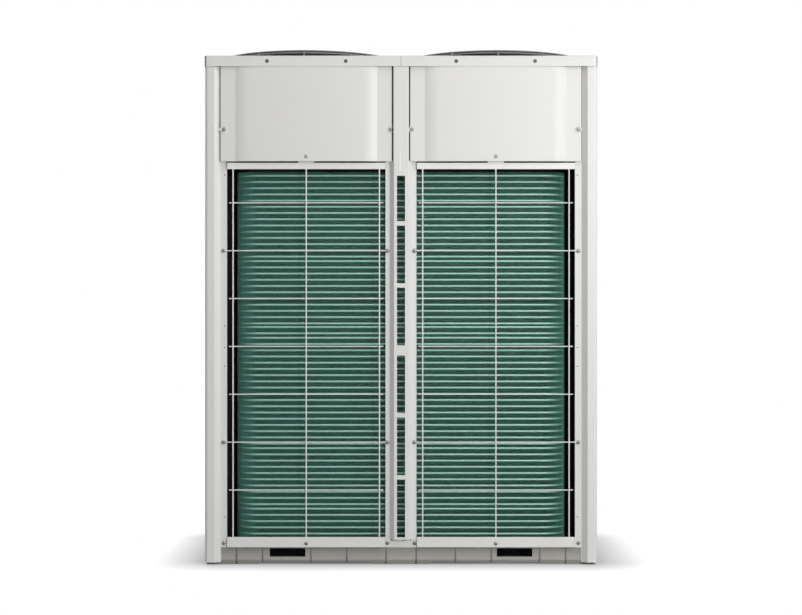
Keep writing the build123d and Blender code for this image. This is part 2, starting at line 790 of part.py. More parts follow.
def motor_bracket(name, side):
    """Two channel bars from the rear cross rail to the front one, under a fan motor."""
    half = rim_y - sheet - seat
    with BuildPart() as bracket:
        with BuildSketch(Plane.XZ.offset(-half)):
            for hand in (-1, 1):
                with Locations((side * fan_x + hand * bracket_gauge / 2, cross_top)):
                    Rectangle(bracket_width, bracket_height, align=(Align.CENTER, Align.MIN))
                    Rectangle(
                        bracket_width - 2 * bracket_sheet,
                        bracket_height - bracket_sheet,
                        align=(Align.CENTER, Align.MIN),
                        mode=Mode.SUBTRACT,
                    )
        extrude(amount=2 * half)
    return save(bracket, name)


for hand, side in (("left", -1), ("right", 1)):
    top_cover(f"{hand}_top_cover", side)
    bell_mouth(f"{hand}_bell_mouth", side)
    fan_guard(f"{hand}_fan_guard", side)
    guard_rim(f"{hand}_guard_rim", side)
    fan(f"{hand}_fan", side)
    fan_motor(f"{hand}_fan_motor", side)
    motor_bracket(f"{hand}_motor_bracket", side)
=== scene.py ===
# %% [markdown]
# # An air conditioner's outdoor unit, dressed in Blender
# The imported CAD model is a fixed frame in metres: cabinet sheets, base, fans and plain stand-ins for the
# coil and the wire guards. This lesson lights it, gives every sheet a finish, and adds what is too fine for
# CAD: the fins and tubes of the coil, round wires, screws and small holes.

# %% Load the frame
import json
import math

import bpy
import numpy as np
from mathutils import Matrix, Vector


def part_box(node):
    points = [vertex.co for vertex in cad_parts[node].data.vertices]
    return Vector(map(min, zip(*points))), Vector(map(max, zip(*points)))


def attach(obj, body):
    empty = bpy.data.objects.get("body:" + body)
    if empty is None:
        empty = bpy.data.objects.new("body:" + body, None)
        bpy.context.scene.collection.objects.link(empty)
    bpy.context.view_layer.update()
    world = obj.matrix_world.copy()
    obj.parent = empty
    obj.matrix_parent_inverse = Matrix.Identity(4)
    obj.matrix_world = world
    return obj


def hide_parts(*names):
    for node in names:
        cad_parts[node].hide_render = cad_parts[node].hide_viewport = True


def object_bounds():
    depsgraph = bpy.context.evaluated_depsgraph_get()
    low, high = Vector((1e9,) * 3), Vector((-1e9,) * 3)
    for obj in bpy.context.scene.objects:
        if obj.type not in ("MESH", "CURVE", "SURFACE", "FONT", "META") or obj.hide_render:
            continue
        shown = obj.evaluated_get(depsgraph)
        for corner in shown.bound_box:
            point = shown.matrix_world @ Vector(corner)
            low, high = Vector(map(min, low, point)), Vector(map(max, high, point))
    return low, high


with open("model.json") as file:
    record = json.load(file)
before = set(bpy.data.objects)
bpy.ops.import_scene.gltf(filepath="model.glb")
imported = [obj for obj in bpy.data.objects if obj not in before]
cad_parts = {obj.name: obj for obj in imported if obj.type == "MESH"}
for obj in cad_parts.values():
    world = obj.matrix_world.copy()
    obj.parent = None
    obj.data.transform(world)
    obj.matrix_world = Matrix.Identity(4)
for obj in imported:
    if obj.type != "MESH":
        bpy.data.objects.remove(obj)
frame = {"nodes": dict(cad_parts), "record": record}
cad_low, cad_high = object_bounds()
nodes = frame["nodes"]
scene = bpy.context.scene
print("CAD nodes:", len(nodes), "box:", list(cad_low), list(cad_high))

# %% [markdown]
# ## Camera
# The photograph looks straight at the coil side from a little under half the unit's height. A long lens far
# away keeps the uprights parallel, so the camera looks level along +Y and needs no shift.

# %% Camera
camera_distance, camera_height = 6.102, 0.845
film_width, lens_length = 36, 78.4
camera = bpy.data.objects.new("photo_camera", bpy.data.cameras.new("photo_camera"))
camera.location = (0, -camera_distance, camera_height)
camera.rotation_euler = (math.radians(90), 0, 0)
camera.data.sensor_width = film_width
camera.data.lens = lens_length
scene.collection.objects.link(camera)
scene.camera = camera
scene.view_settings.view_transform = "Standard"
print("camera at", tuple(camera.location), "lens", lens_length)

# %% [markdown]
# ## Shader arithmetic
# A finish is a small sum: a grain plus a speck, dust times a cloud. Writing each sum with its nodes and links
# hides it, so one class wraps an output socket and lets Python's operators add the Math nodes. Numbers
# alone stay in Python.

# %% Signals
def plug(value, socket):
    """Link a signal to a socket, or set a plain value on it."""
    if isinstance(value, Signal):
        socket.id_data.links.new(value.socket, socket)
    elif isinstance(value, tuple) and socket.type == "RGBA":
        socket.default_value = (*value[:3], 1)
    else:
        socket.default_value = value


class Signal:
    """An output socket; arithmetic on it adds Math nodes to the same tree."""

    def __init__(self, socket):
        self.socket = socket

    def math(self, operation, first, second):
        made = self.socket.id_data.nodes.new("ShaderNodeMath")
        made.operation = operation
        plug(first, made.inputs[0])
        plug(second, made.inputs[1])
        return Signal(made.outputs[0])

    def __add__(self, other):
        return self.math("ADD", self, other)

    def __sub__(self, other):
        return self.math("SUBTRACT", self, other)

    def __rsub__(self, other):
        return self.math("SUBTRACT", other, self)

    def __mul__(self, other):
        return self.math("MULTIPLY", self, other)

    __radd__ = __add__
    __rmul__ = __mul__


print("signals add, subtract and multiply")

# %% [markdown]
# ## One way to add any node
# A tree needs textures, mixes and bumps besides sums. One method takes the node's type, its settings, which
# can change the node's sockets and so come first, and the values or links of its sockets. The tree of a
# world or a stage is built the same way as the tree of a finish.

# %% Node trees
class Nodes:
    """A node tree under construction."""

    def __init__(self, tree):
        self.tree = tree

    def add(self, kind, settings, inputs, output=0):
        made = self.tree.nodes.new(kind)
        for name, value in settings.items():
            setattr(made, name, value)
        for name, value in inputs.items():
            plug(value, made.inputs[name])
        return Signal(made.outputs[output])

    def colour_mix(self, factor, low, high):
        return self.add("ShaderNodeMix", {"data_type": "RGBA"}, {0: factor, 6: low, 7: high}, 2)


print("trees: any node from its type, settings and sockets")

# %% [markdown]
# ## Finishes
# A finish on the real unit is a coat with a grain, a cloud of tone and a little relief. Each one becomes a
# material with the one Principled shader that it starts with. Its textures are placed by the object's own
# coordinates, in metres, so that a grain has its real size on every sheet.

# %% Finish
class Finish(Nodes):
    """A material with one Principled shader and the object's own coordinates in metres."""

    def __init__(self, name):
        self.material = bpy.data.materials.new(name)
        self.material.use_nodes = True
        super().__init__(self.material.node_tree)
        self.shader = self.tree.nodes["Principled BSDF"]
        self.place = self.add("ShaderNodeTexCoord", {}, {}, "Object")

    def noise(self, scale, detail=2.0, vector=None):
        inputs = {"Vector": vector or self.place, "Scale": scale, "Detail": detail}
        return self.add("ShaderNodeTexNoise", {}, inputs)

    def stretched(self, x, y, z):
        return self.add("ShaderNodeMapping", {}, {"Vector": self.place, "Scale": (x, y, z)})

    def ramp(self, value, start, end, low, high):
        inputs = {"Value": value, "From Min": start, "From Max": end, "To Min": low, "To Max": high}
        return self.add("ShaderNodeMapRange", {}, inputs)

    def bump(self, height, distance, strength):
        inputs = {"Strength": strength, "Distance": distance, "Height": height}
        return self.add("ShaderNodeBump", {}, inputs)

    def shade(self, **sockets):
        for name, value in sockets.items():
            plug(value, self.shader.inputs[name.replace("_", " ")])
        print("finish:", self.material.name)
        return self.material


print("finishes: noise, stretched grain, ramp, bump and shade")

# %% [markdown]
# ## Studio
# The photograph is lit from the right and a little above: the guards' wires throw their shadows left and
# down on the coil, and folds that face left are darker. A key lamp on the right models the sheets, and a
# small one near the camera draws the narrow shadow beside each wire. A softbox further round lights the
# folds, one overhead softens the shadows under the ledges, and a lamp behind on the left serves the sides
# that the photograph hides. The world is dim, but white for rays that come straight from the camera, a
# mirror or glass, so the white background adds hardly any light to the unit.

# %% World
world = bpy.data.worlds.new("studio")
world.use_nodes = True
scene.world = world
sky = Nodes(world.node_tree)
ambient = 0.07
sky_rays = sky.add("ShaderNodeLightPath", {}, {}, "Is Camera Ray")
for ray in ("Is Glossy Ray", "Is Transmission Ray"):
    sky_rays = sky_rays.math("MAXIMUM", sky_rays, sky.add("ShaderNodeLightPath", {}, {}, ray))
background = world.node_tree.nodes["Background"]
plug((1.0, 1.0, 1.0), background.inputs["Color"])
plug(ambient + sky_rays * (1 - ambient), background.inputs["Strength"])
print("world: white for the camera, strength", ambient, "for the rest")

# %% Lamps
def lamp(name, azimuth, elevation, distance, size, power):
    """Square lamp aimed at the middle of the unit; azimuth runs from the camera's side to the right."""
    data = bpy.data.lights.new(name, "AREA")
    data.size = size
    data.energy = power
    made = bpy.data.objects.new(name, data)
    turn, rise = math.radians(azimuth), math.radians(elevation)
    aim = np.array([math.sin(turn) * math.cos(rise), -math.cos(turn) * math.cos(rise), math.sin(rise)])
    made.location = np.array([0, 0, camera_height]) + distance * aim
    made.rotation_euler = (math.radians(90) - rise, 0, turn)
    scene.collection.objects.link(made)
    print("lamp:", name, [round(value, 2) for value in made.location])


lamp("key", azimuth=23, elevation=12, distance=5.0, size=0.45, power=76)
lamp("front_key", azimuth=8, elevation=5, distance=5.5, size=0.12, power=25)
lamp("right_softbox", azimuth=58, elevation=20, distance=4.8, size=2.0, power=62)
lamp("overhead_softbox", azimuth=10, elevation=58, distance=4.5, size=2.5, power=42)
lamp("back_softbox", azimuth=-135, elevation=28, distance=5.0, size=4.0, power=150)

# %% [markdown]
# ## Floor
# A pale floor carries the unit and its soft shadow. Under the unit and close to it, it is ordinary pale
# paint. Further out it turns into plain white for the camera, so it runs into the background without a
# horizon. The distance is measured from the unit's footprint, a box, with Vector Math.

# %% Floor
floor_reach = 30.0
floor_mesh = bpy.data.meshes.new("floor")
corners = [(-floor_reach, -floor_reach, 0), (floor_reach, -floor_reach, 0), (floor_reach, floor_reach, 0),
           (-floor_reach, floor_reach, 0)]
floor_mesh.from_pydata(corners, [], [(0, 1, 2, 3)])
floor = bpy.data.objects.new("floor", floor_mesh)
scene.collection.objects.link(floor)
print("floor reaches", floor_reach, "m")

# %% Floor paint
fade_reach = 0.22
inset_x, inset_y = 0.05, 0.09
pale = Finish("pale_floor")
grain = pale.noise(6.0)
pale.shade(Base_Color=pale.colour_mix(grain, (0.52, 0.52, 0.52), (0.56, 0.56, 0.56)), Roughness=0.9)
footprint = (cad_high.x - inset_x, cad_high.y - inset_y, 0.0)
beside = pale.add("ShaderNodeVectorMath", {"operation": "ABSOLUTE"}, {0: pale.place})
beside = pale.add("ShaderNodeVectorMath", {"operation": "SUBTRACT"}, {0: beside, 1: footprint})
beside = pale.add("ShaderNodeVectorMath", {"operation": "MAXIMUM"}, {0: beside, 1: (0.0, 0.0, 0.0)})
distance = pale.add("ShaderNodeVectorMath", {"operation": "LENGTH"}, {0: beside}, "Value")
far = pale.ramp(distance, 0.0, fade_reach, 0.0, 1.0)
seen = pale.add("ShaderNodeLightPath", {}, {}, "Is Camera Ray")
white = pale.add("ShaderNodeEmission", {}, {"Color": (1.0, 1.0, 1.0), "Strength": 1.0})
lit = Signal(pale.shader.outputs["BSDF"])
blend = pale.add("ShaderNodeMixShader", {}, {0: far * seen, 1: lit, 2: white})
plug(blend, pale.tree.nodes["Material Output"].inputs["Surface"])
floor_mesh.materials.append(pale.material)
print("floor turns white", fade_reach, "m from the unit")

# %% [markdown]
# ## Cabinet paint
# The cabinet is zinc-coated sheet with a baked powder coat, a warm off-white with a faint orange peel. The
# peel is a fine noise that only bends the light, so it goes through a Bump. A broad noise shifts the colour
# and the gloss by a hair, as a sprayed coat does from sheet to sheet.

# %% Cabinet paint
cabinet = Finish("cabinet_powder_coat")
peel = cabinet.noise(700.0, 1.0)
cloud = cabinet.noise(2.5, 3.0)
speck = cabinet.noise(2400.0, 0.0)
cabinet_paint = cabinet.shade(
    Base_Color=cabinet.colour_mix(cloud, (0.735, 0.728, 0.712), (0.775, 0.768, 0.755)),
    Roughness=0.34 + 0.10 * cloud + 0.05 * speck,
    Normal=cabinet.bump(peel + 0.3 * speck, 0.00012, 0.35),
)

# %% [markdown]
# ## Base coat
# The base rails are thicker steel with a mid-grey coat. It is flatter than the cabinet's, has a coarser
# texture, and gathers a little dust near the ground, which a ramp over the height gives. Shade is painted
# into the coat as a near-black colour in the pressed grooves and under the ledge of the guards, where
# shadow falls. The grooves' places along the rail make a mask for this painted shade.

# %% Base coat
base = Finish("base_grey_coat")
groove_places = (0.0495, 0.1785, 0.2965, 0.4555, 0.5410)
groove_half, painted_shade_reach = 0.0008, 0.0045
dust_top, ledge_shade, ledge_level = 0.03, 0.024, 0.058
base_grain = base.noise(900.0, 2.0)
base_cloud = base.noise(5.0, 3.0)
along = base.add("ShaderNodeSeparateXYZ", {}, {0: base.place}, "X")
height = base.add("ShaderNodeSeparateXYZ", {}, {0: base.place}, "Z")
reach = along.math("ABSOLUTE", along, 0.0)
dust = base.ramp(height, 0.0, dust_top, 0.5, 0.0)
# Painted shade: darker towards the guards' ledge, where its shadow falls.
painted_shade = base.ramp(height, ledge_shade, ledge_level, 0.0, 0.5)
# Painted shade: dark lines in the pressed grooves.
for groove in groove_places:
    apart = reach.math("ABSOLUTE", reach - groove, 0.0)
    painted_shade = painted_shade.math("MAXIMUM", painted_shade, base.ramp(apart, groove_half, painted_shade_reach, 0.75, 0.0))
coat = base.colour_mix(base_cloud, (0.36, 0.345, 0.322), (0.43, 0.414, 0.389))
coat = base.colour_mix(dust * base_cloud, coat, (0.48, 0.46, 0.43))
# The near-black colour under the mask is painted shade.
base_paint = base.shade(
    Base_Color=base.colour_mix(painted_shade, coat, (0.105, 0.098, 0.088)),
    Roughness=0.48 + 0.15 * base_cloud,
    Normal=base.bump(base_grain, 0.0002, 0.4),
)

# %% [markdown]
# ## Dipped wire coats
# The guards over the coil are welded wire dipped in white plastic, thick and slightly wavy. The guards over
# the fans are the same kind of wire in a thin dark grey coat. Both get a long-waved bump, and the dark one
# a little more gloss change, because its coat is thinner.

# %% Dipped wire coats
dip = Finish("white_dip_coat")
dip_wave = dip.noise(160.0, 2.0)
guard_coat = dip.shade(
    Base_Color=dip.colour_mix(dip_wave, (0.77, 0.765, 0.75), (0.83, 0.825, 0.81)),
    Roughness=0.30 + 0.12 * dip_wave,
    Normal=dip.bump(dip_wave, 0.0004, 0.35),
)
thin = Finish("dark_wire_coat")
thin_wave = thin.noise(220.0, 2.0)
dark_wire = thin.shade(
    Base_Color=thin.colour_mix(thin_wave, (0.20, 0.20, 0.194), (0.28, 0.28, 0.272)),
    Roughness=0.38 + 0.2 * thin_wave,
    Normal=thin.bump(thin_wave, 0.0003, 0.3),
)

# %% [markdown]
# ## Black mouldings and the motors
# The fans and the rings round them are moulded plastic with a fine spark-eroded grain, nearly black. The
# motor housings are cast and painted matt black, with a coarser skin.

# %% Black mouldings and motors
moulding = Finish("black_moulded_plastic")
mould_grain = moulding.noise(1100.0, 2.0)
mould_cloud = moulding.noise(9.0, 2.0)
black_moulding = moulding.shade(
    Base_Color=moulding.colour_mix(mould_cloud, (0.014, 0.014, 0.015), (0.026, 0.026, 0.027)),
    Roughness=0.46 + 0.16 * mould_grain,
    Normal=moulding.bump(mould_grain, 0.00015, 0.5),
)
casting = Finish("motor_matt_black")
cast_skin = casting.noise(420.0, 4.0)
motor_paint = casting.shade(
    Base_Color=casting.colour_mix(cast_skin, (0.022, 0.022, 0.023), (0.045, 0.045, 0.046)),
    Roughness=0.55 + 0.2 * cast_skin,
    Normal=casting.bump(cast_skin, 0.0004, 0.5),
)

# %% [markdown]
# ## Zinc
# The pan, the cross rails and the motor brackets are galvanised: the zinc freezes in crystals a centimetre
# or two across, each with its own tone and gloss. Voronoi cells are such crystals. Screws have a thin
# plated zinc without the spangle, so they get a metal of their own with a fine grain. The flat screws of the
# covers get a much darker copy of it, painted shade for the recess that their flat heads are too shallow
# to show.

# %% Zinc
zinc = Finish("galvanised_zinc")
spangle = zinc.add("ShaderNodeTexVoronoi", {}, {"Vector": zinc.place, "Scale": 85.0}, "Color")
tone = zinc.add("ShaderNodeRGBToBW", {}, {0: spangle})
frost = zinc.noise(300.0, 3.0)
galvanised = zinc.shade(
    Base_Color=zinc.colour_mix(tone, (0.44, 0.45, 0.46), (0.60, 0.61, 0.62)),
    Roughness=0.32 + 0.16 * tone + 0.08 * frost,
    Normal=zinc.bump(tone + 0.3 * frost, 0.00008, 0.4),
    Metallic=0.85,
)
plated = Finish("plated_screw")
plate_grain = plated.noise(1500.0, 2.0)
plated_zinc = plated.shade(
    Base_Color=plated.colour_mix(plate_grain, (0.19, 0.188, 0.181), (0.29, 0.287, 0.279)),
    Roughness=0.30 + 0.18 * plate_grain,
    Normal=plated.bump(plate_grain, 0.00006, 0.4),
    Metallic=0.9,
)
# A much darker copy of the screw metal for the covers' flat heads: painted shade of their recess.
shaded = Finish("shaded_screw")
shaded_grain = shaded.noise(1500.0, 2.0)
shaded_zinc = shaded.shade(
    Base_Color=shaded.colour_mix(shaded_grain, (0.075, 0.074, 0.07), (0.12, 0.118, 0.113)),
    Roughness=0.42 + 0.18 * shaded_grain,
    Normal=shaded.bump(shaded_grain, 0.00006, 0.4),
    Metallic=0.7,
)

# %% [markdown]
# ## Coil green
# The fins are thin aluminium with a green water-shedding coat. The collars that grip the tubes have the
# same coat; they face the light, and here they also get a much paler copy of it, painted light, so each
# tube row shows as a paler line. A broad noise changes the fins' gloss here and there, and a noise
# stretched upright gives each fin a tone of its own.

# %% Coil green
fin = Finish("green_fin_coat")
fin_tone = fin.noise(1.0, 1.0, fin.stretched(420.0, 420.0, 6.0))
fin_cloud = fin.noise(7.0, 3.0)
fin_coat = fin.shade(
    Base_Color=fin.colour_mix(fin_tone, (0.135, 0.365, 0.293), (0.190, 0.452, 0.370)),
    Roughness=0.34 + 0.2 * fin_cloud,
    Normal=fin.bump(fin_tone, 0.0001, 0.3),
    Metallic=0.25,
)
# A paler copy of the fin coat for the tubes' collars: painted light.
collar = Finish("green_collar_painted_light")
collar_tone = collar.noise(1.0, 1.0, collar.stretched(420.0, 420.0, 30.0))
collar_painted_light = collar.shade(
    Base_Color=collar.colour_mix(collar_tone, (0.38, 0.64, 0.555), (0.47, 0.73, 0.645)),
    Roughness=0.32 + 0.15 * collar_tone,
    Normal=collar.bump(collar_tone, 0.0002, 0.4),
    Metallic=0.25,
)

# %% [markdown]
# ## Seal foam
# Strips of black foam close the gaps between coil, posts and panels. Most of them are dark strips put where
# shade falls, painted shade that makes the gaps look black; the strips in the joints are dark joints. Its
# open cells swallow the light. It needs hardly any gloss, a coarse bump and a colour close to black.

# %% Seal foam
foam = Finish("black_shade_and_seal_foam")
cells = foam.noise(480.0, 3.0)
# Near-black foam, mostly for strips that stand for the shade in gaps: painted shade.
shade_and_seal_foam = foam.shade(
    Base_Color=foam.colour_mix(cells, (0.006, 0.006, 0.006), (0.016, 0.016, 0.015)),
    Roughness=0.82 + 0.12 * cells,
    Normal=foam.bump(cells, 0.0006, 0.6),
    Specular_IOR_Level=0.03,
)

# %% [markdown]
# ## Finishes on the CAD sheets
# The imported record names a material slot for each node. A table from slot to finish dresses every node that
# stays, and the nodes that are replaced below get the same finish, so nothing is ever left plain.

# %% Dress the CAD nodes
finishes = {
    "cabinet_paint": cabinet_paint,
    "base_paint": base_paint,
    "guard_coat": guard_coat,
    "dark_wire": dark_wire,
    "black_moulding": black_moulding,
    "coil_fins": fin_coat,
    "galvanised": galvanised,
    "motor_paint": motor_paint,
}
for entry in frame["record"]["subparts"]:
    sheet = nodes[entry["node"]].data
    sheet.materials.clear()
    sheet.materials.append(finishes[entry["material_slot"]])

# %% [markdown]
# ## Shapes from arrays
# Fins, wires and screws come by the hundred, so each shape is a plain pair of points and faces, joined
# before it becomes one mesh. A sweep runs a round section along a path, a lathe turns a profile round an
# upright axis, and a strip extrudes a folded profile along a side, or a plan upright.

# %% Sweep and lathe
def skin(rows, closed):
    """Quads between neighbouring rows of points, with a flat cap on both ends of an open shape."""
    before, after = (rows, np.roll(rows, -1, 0)) if closed else (rows[:-1], rows[1:])
    quads = np.stack([before, np.roll(before, -1, 1), np.roll(after, -1, 1), after], 2)
    caps = [] if closed else [rows[0][::-1].tolist(), rows[-1].tolist()]
    return quads.reshape(-1, 4).tolist() + caps


def sweep(path, radius, hint, facets, closed=False):
    """Round wire along a path; hint is a direction that the path never runs along."""
    path = np.asarray(path, float)
    ahead = np.roll(path, -1, 0) - np.roll(path, 1, 0) if closed else np.gradient(path, axis=0)
    ahead /= np.linalg.norm(ahead, axis=1)[:, None]
    across = np.cross(ahead, hint)
    across /= np.linalg.norm(across, axis=1)[:, None]
    rise = np.cross(ahead, across)
    turn = np.arange(facets) * 2 * math.pi / facets
    round_section = np.cos(turn)[:, None] * across[:, None] + np.sin(turn)[:, None] * rise[:, None]
    points = (path[:, None] + radius * round_section).reshape(-1, 3)
    return points, skin(np.arange(len(points)).reshape(-1, facets), closed)


def lathe(profile, steps, closed=False):
    """Turn (radius, height) points round the upright axis."""
    turn = np.arange(steps) * 2 * math.pi / steps
    points = np.array([(r * c, r * s, z) for r, z in profile for c, s in zip(np.cos(turn), np.sin(turn))])
    return points, skin(np.arange(len(points)).reshape(-1, steps), closed)


print("sweep: a round section along a path; lathe: a profile round an upright axis")

# %% Strip, upright and join
def strip(profile, start, end):
    """Extrude a profile of (outward, up) points along a side, as (along, up, outward) points."""
    count = len(profile)
    points = np.array([(along, up, out) for along in (start, end) for out, up in profile])
    faces = [[i, (i + 1) % count, count + (i + 1) % count, count + i] for i in range(count)]
    faces += [list(range(count))[::-1], list(range(count, 2 * count))]
    return points, faces


def upright(plan, bottom, top):
    """Extrude a plan of (x, y) points upright."""
    points, faces = strip(plan, bottom, top)
    return points[:, [2, 1, 0]], [face[::-1] for face in faces]


def join(shapes):
    """One shape from many."""
    points, faces, start = [], [], 0
    for shape_points, shape_faces in shapes:
        points.append(np.asarray(shape_points, float))
        faces += [[start + corner for corner in face] for face in shape_faces]
        start += len(shape_points)
    return np.concatenate(points), faces


print("strip: a profile along a side; upright: a plan upright; join: one shape from many")

# %% [markdown]
# ## Sides
# All four sides are built alike, so a piece is drawn once as (along, up, outward) millimetres from the
# plane of the posts' flanges and then laid on the side that it belongs to. The planes come from a post's own
# box. Every piece is smooth, apart from folds that are sharp on the real sheet.

# %% Sides
mm = 0.001
post_step = 16.0
post_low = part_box("rear_left_post")[0]
end_plane = -post_low.x - post_step * mm
face_plane = -post_low.y - post_step * mm
sides = {
    "rear": ((1, 0, 0), (0, -1, 0), face_plane),
    "front": ((-1, 0, 0), (0, 1, 0), face_plane),
    "left": ((0, -1, 0), (-1, 0, 0), end_plane),
    "right": ((0, 1, 0), (1, 0, 0), end_plane),
}


def on_side(side, points):
    """World metres of (along, up, outward) millimetres on one side."""
    along, outward, plane = sides[side]
    points = np.asarray(points, float) * mm
    return points[:, :1] * along + points[:, 1:2] * (0, 0, 1) + (points[:, 2:] + plane) * outward


print("sides:", list(sides))

# %% Pieces
sharp_fold = math.radians(40)


def piece(name, shape, material, replaced=()):
    """Make one mesh object that rides on the unit's only body, smooth but for its sharp folds."""
    points, faces = shape
    mesh = bpy.data.meshes.new(name)
    mesh.from_pydata(np.asarray(points).tolist(), [], faces)
    mesh.polygons.foreach_set("use_smooth", [True] * len(mesh.polygons))
    mesh.set_sharp_from_angle(angle=sharp_fold)
    mesh.materials.append(material)
    made = bpy.data.objects.new(name, mesh)
    scene.collection.objects.link(made)
    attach(made, "root")
    if replaced:
        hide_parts(*replaced)
    print("piece:", name, len(mesh.polygons), "faces")


def side_piece(name, side, shapes, material, replaced=()):
    """Make one piece of shapes that are drawn in a side's own millimetres."""
    points, faces = join(shapes)
    piece(name, (on_side(side, points), faces), material, replaced)


print("folds are sharp from", round(math.degrees(sharp_fold)), "degrees")

# %% [markdown]
# ## Coil fins
# A finned coil is a stack of thin upright plates on level tubes, bent as one slab round two corners. It
# could be a flat sheet with a striped picture, but then it would look painted from the side and light would
# not sink in. Here each fin is a real plate with a zigzag section and a narrow folded front edge, set along
# the U of the CAD slab, so the dark between the tube rows is real depth.

# %% The U of the coil
coil_low, coil_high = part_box("lower_coil")
coil_bend = 0.080
coil_depth = 0.044


def shares(length, pitch):
    """Shares of a length at which its fins stand."""
    count = round(length / pitch)
    return (np.arange(count) + 0.5) / count


def coil_stations(pitch):
    """Outer points of the coil's U and the inward direction at each, from the left end to the right end."""
    run = coil_high.y - (coil_low.y + coil_bend)
    back = 2 * (coil_high.x - coil_bend)
    arc = (coil_bend - coil_depth / 2) * math.pi / 2
    along_run, along_back = shares(run, pitch), shares(back, pitch)
    along_arc = shares(arc, pitch) * math.pi / 2
    stations = [((-coil_high.x, coil_high.y - run * t), (1.0, 0.0)) for t in along_run]
    corner = np.array([coil_high.x - coil_bend, coil_low.y + coil_bend])
    for turn in along_arc:
        inward = np.array([math.cos(turn), math.sin(turn)])
        stations.append((corner * (-1, 1) - coil_bend * inward, inward))
    stations += [((-back / 2 + back * t, coil_low.y), (0.0, 1.0)) for t in along_back]
    for turn in along_arc:
        inward = np.array([-math.sin(turn), math.cos(turn)])
        stations.append((corner - coil_bend * inward, inward))
    stations += [((coil_high.x, coil_low.y + coil_bend + run * t), (-1.0, 0.0)) for t in along_run]
    return np.array([point for point, inward in stations]), np.array([inward for point, inward in stations])


fin_pitch = 0.0019
fin_points, fin_inward = coil_stations(fin_pitch)
print("fins in each half:", len(fin_points))

# %% Fins
fin_folds = 8
fin_wave = 0.00035
fin_edge = 0.00011


def fins(bottom, top):
    """Zigzag plates with folded front edges, from one level to another."""
    across = np.stack([-fin_inward[:, 1], fin_inward[:, 0]], 1)
    depth = np.linspace(0, coil_depth, fin_folds + 1)
    wave = fin_wave * np.array([(-1) ** fold for fold in range(fin_folds + 1)])
    line = fin_points[:, None] + depth[:, None] * fin_inward[:, None] + wave[:, None] * across[:, None]
    low = np.concatenate([line, np.full(line.shape[:2] + (1,), bottom)], 2)
    high = np.concatenate([line, np.full(line.shape[:2] + (1,), top)], 2)
    points = np.stack([low, high], 2).reshape(-1, 3)
    index = np.arange(len(points)).reshape(-1, fin_folds + 1, 2)
    faces = np.stack([index[:, :-1, 0], index[:, 1:, 0], index[:, 1:, 1], index[:, :-1, 1]], 2)
    rims = [fin_points + side * fin_edge * across for side in (-1, 1)]
    edges = [np.column_stack([rim, np.full(len(rim), level)]) for rim in rims for level in (bottom, top)]
    corner = np.arange(len(fin_points))[:, None] + len(fin_points) * np.array([0, 2, 3, 1])
    fronts = (len(points) + corner).tolist()
    return np.concatenate([points, *edges]), faces.reshape(-1, 4).tolist() + fronts


for half in ("lower", "upper"):
    low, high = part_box(f"{half}_coil")
    piece(f"{half}_fins", fins(low.z, high.z), fin_coat, [f"{half}_coil"])

# %% [markdown]
# ## Coil tubes
# Three rows of tubes run through the fins, staggered so that the middle row sits half a pitch lower. The
# first row lies just behind the fins' edges and shows as bright level lines, lit and also painted pale in
# the collars' coat. Where one circuit ends and the next one starts, two rows stand closer together, so the
# levels are counted circuit by circuit from the top of each half.

# %% Levels of the tubes
tube_pitch, circuit_gap = 0.0206, 0.0150
circuits = {"lower": (0.0055, (2, 18, 10, 6)), "upper": (0.0104, (15, 11))}
tube_radius = 0.0042


def tube_levels(half):
    """Levels of the first tube row of one half, from its top down."""
    first, row_counts = circuits[half]
    levels = []
    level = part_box(f"{half}_coil")[1].z - first
    for rows in row_counts:
        levels += [level - row * tube_pitch for row in range(rows)]
        level = levels[-1] - circuit_gap
    return levels


levels_of = {half: tube_levels(half) for half in circuits}
print("tubes in a row:", {half: len(levels) for half, levels in levels_of.items()})

# %% Tubes
tube_rows = (0.0045, 0.0205, 0.0365)
bend_steps, tube_sides = 8, 10


def tube_path(depth):
    """Level path of a tube at some depth behind the coil's face."""
    reach = coil_high.x - depth
    radius = coil_bend - depth
    corner = np.array([coil_high.x - coil_bend, coil_low.y + coil_bend])
    turns = np.linspace(0, math.pi / 2, bend_steps + 1)
    left = [corner * (-1, 1) - radius * np.array([math.cos(turn), math.sin(turn)]) for turn in turns]
    right = [corner + radius * np.array([math.sin(turn), -math.cos(turn)]) for turn in turns]
    return np.array([(-reach, coil_high.y), *left, *right, (reach, coil_high.y)])


def tubes(half):
    """All the tubes of one half; a staggered tube that would leave the coil is left out."""
    shapes = []
    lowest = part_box(f"{half}_coil")[0].z + tube_radius
    for row, depth in enumerate(tube_rows):
        path = tube_path(depth)
        stagger = tube_pitch / 2 if row % 2 else 0.0
        for level in levels_of[half]:
            if level - stagger > lowest:
                line = np.column_stack([path, np.full(len(path), level - stagger)])
                shapes.append(sweep(line, tube_radius, (0, 0, 1), tube_sides))
    return join(shapes)


for half in circuits:
    piece(f"{half}_tubes", tubes(half), collar_painted_light)

# %% [markdown]
# ## Coil ends and corner seals
# Each arm of the coil's U ends in a folded zinc plate that holds the stack of fins and reaches out to the
# post's flange. At the two corners a near-black foam strip runs from the bend to the inside of the post and
# closes the gap; it is a dark sheet put where there is shade, painted shade that makes the gap beside the
# guard look black. Another near-black strip runs along the coil's top edge, under a flat zinc plate that
# closes the space above the coil; it is the painted shadow of the top rail. A plan of each, extruded
# upright, is enough; a rib along the corner foam catches a little light.

# %% Coil end plates
plate_sheet, plate_lip = 0.0015, 0.016


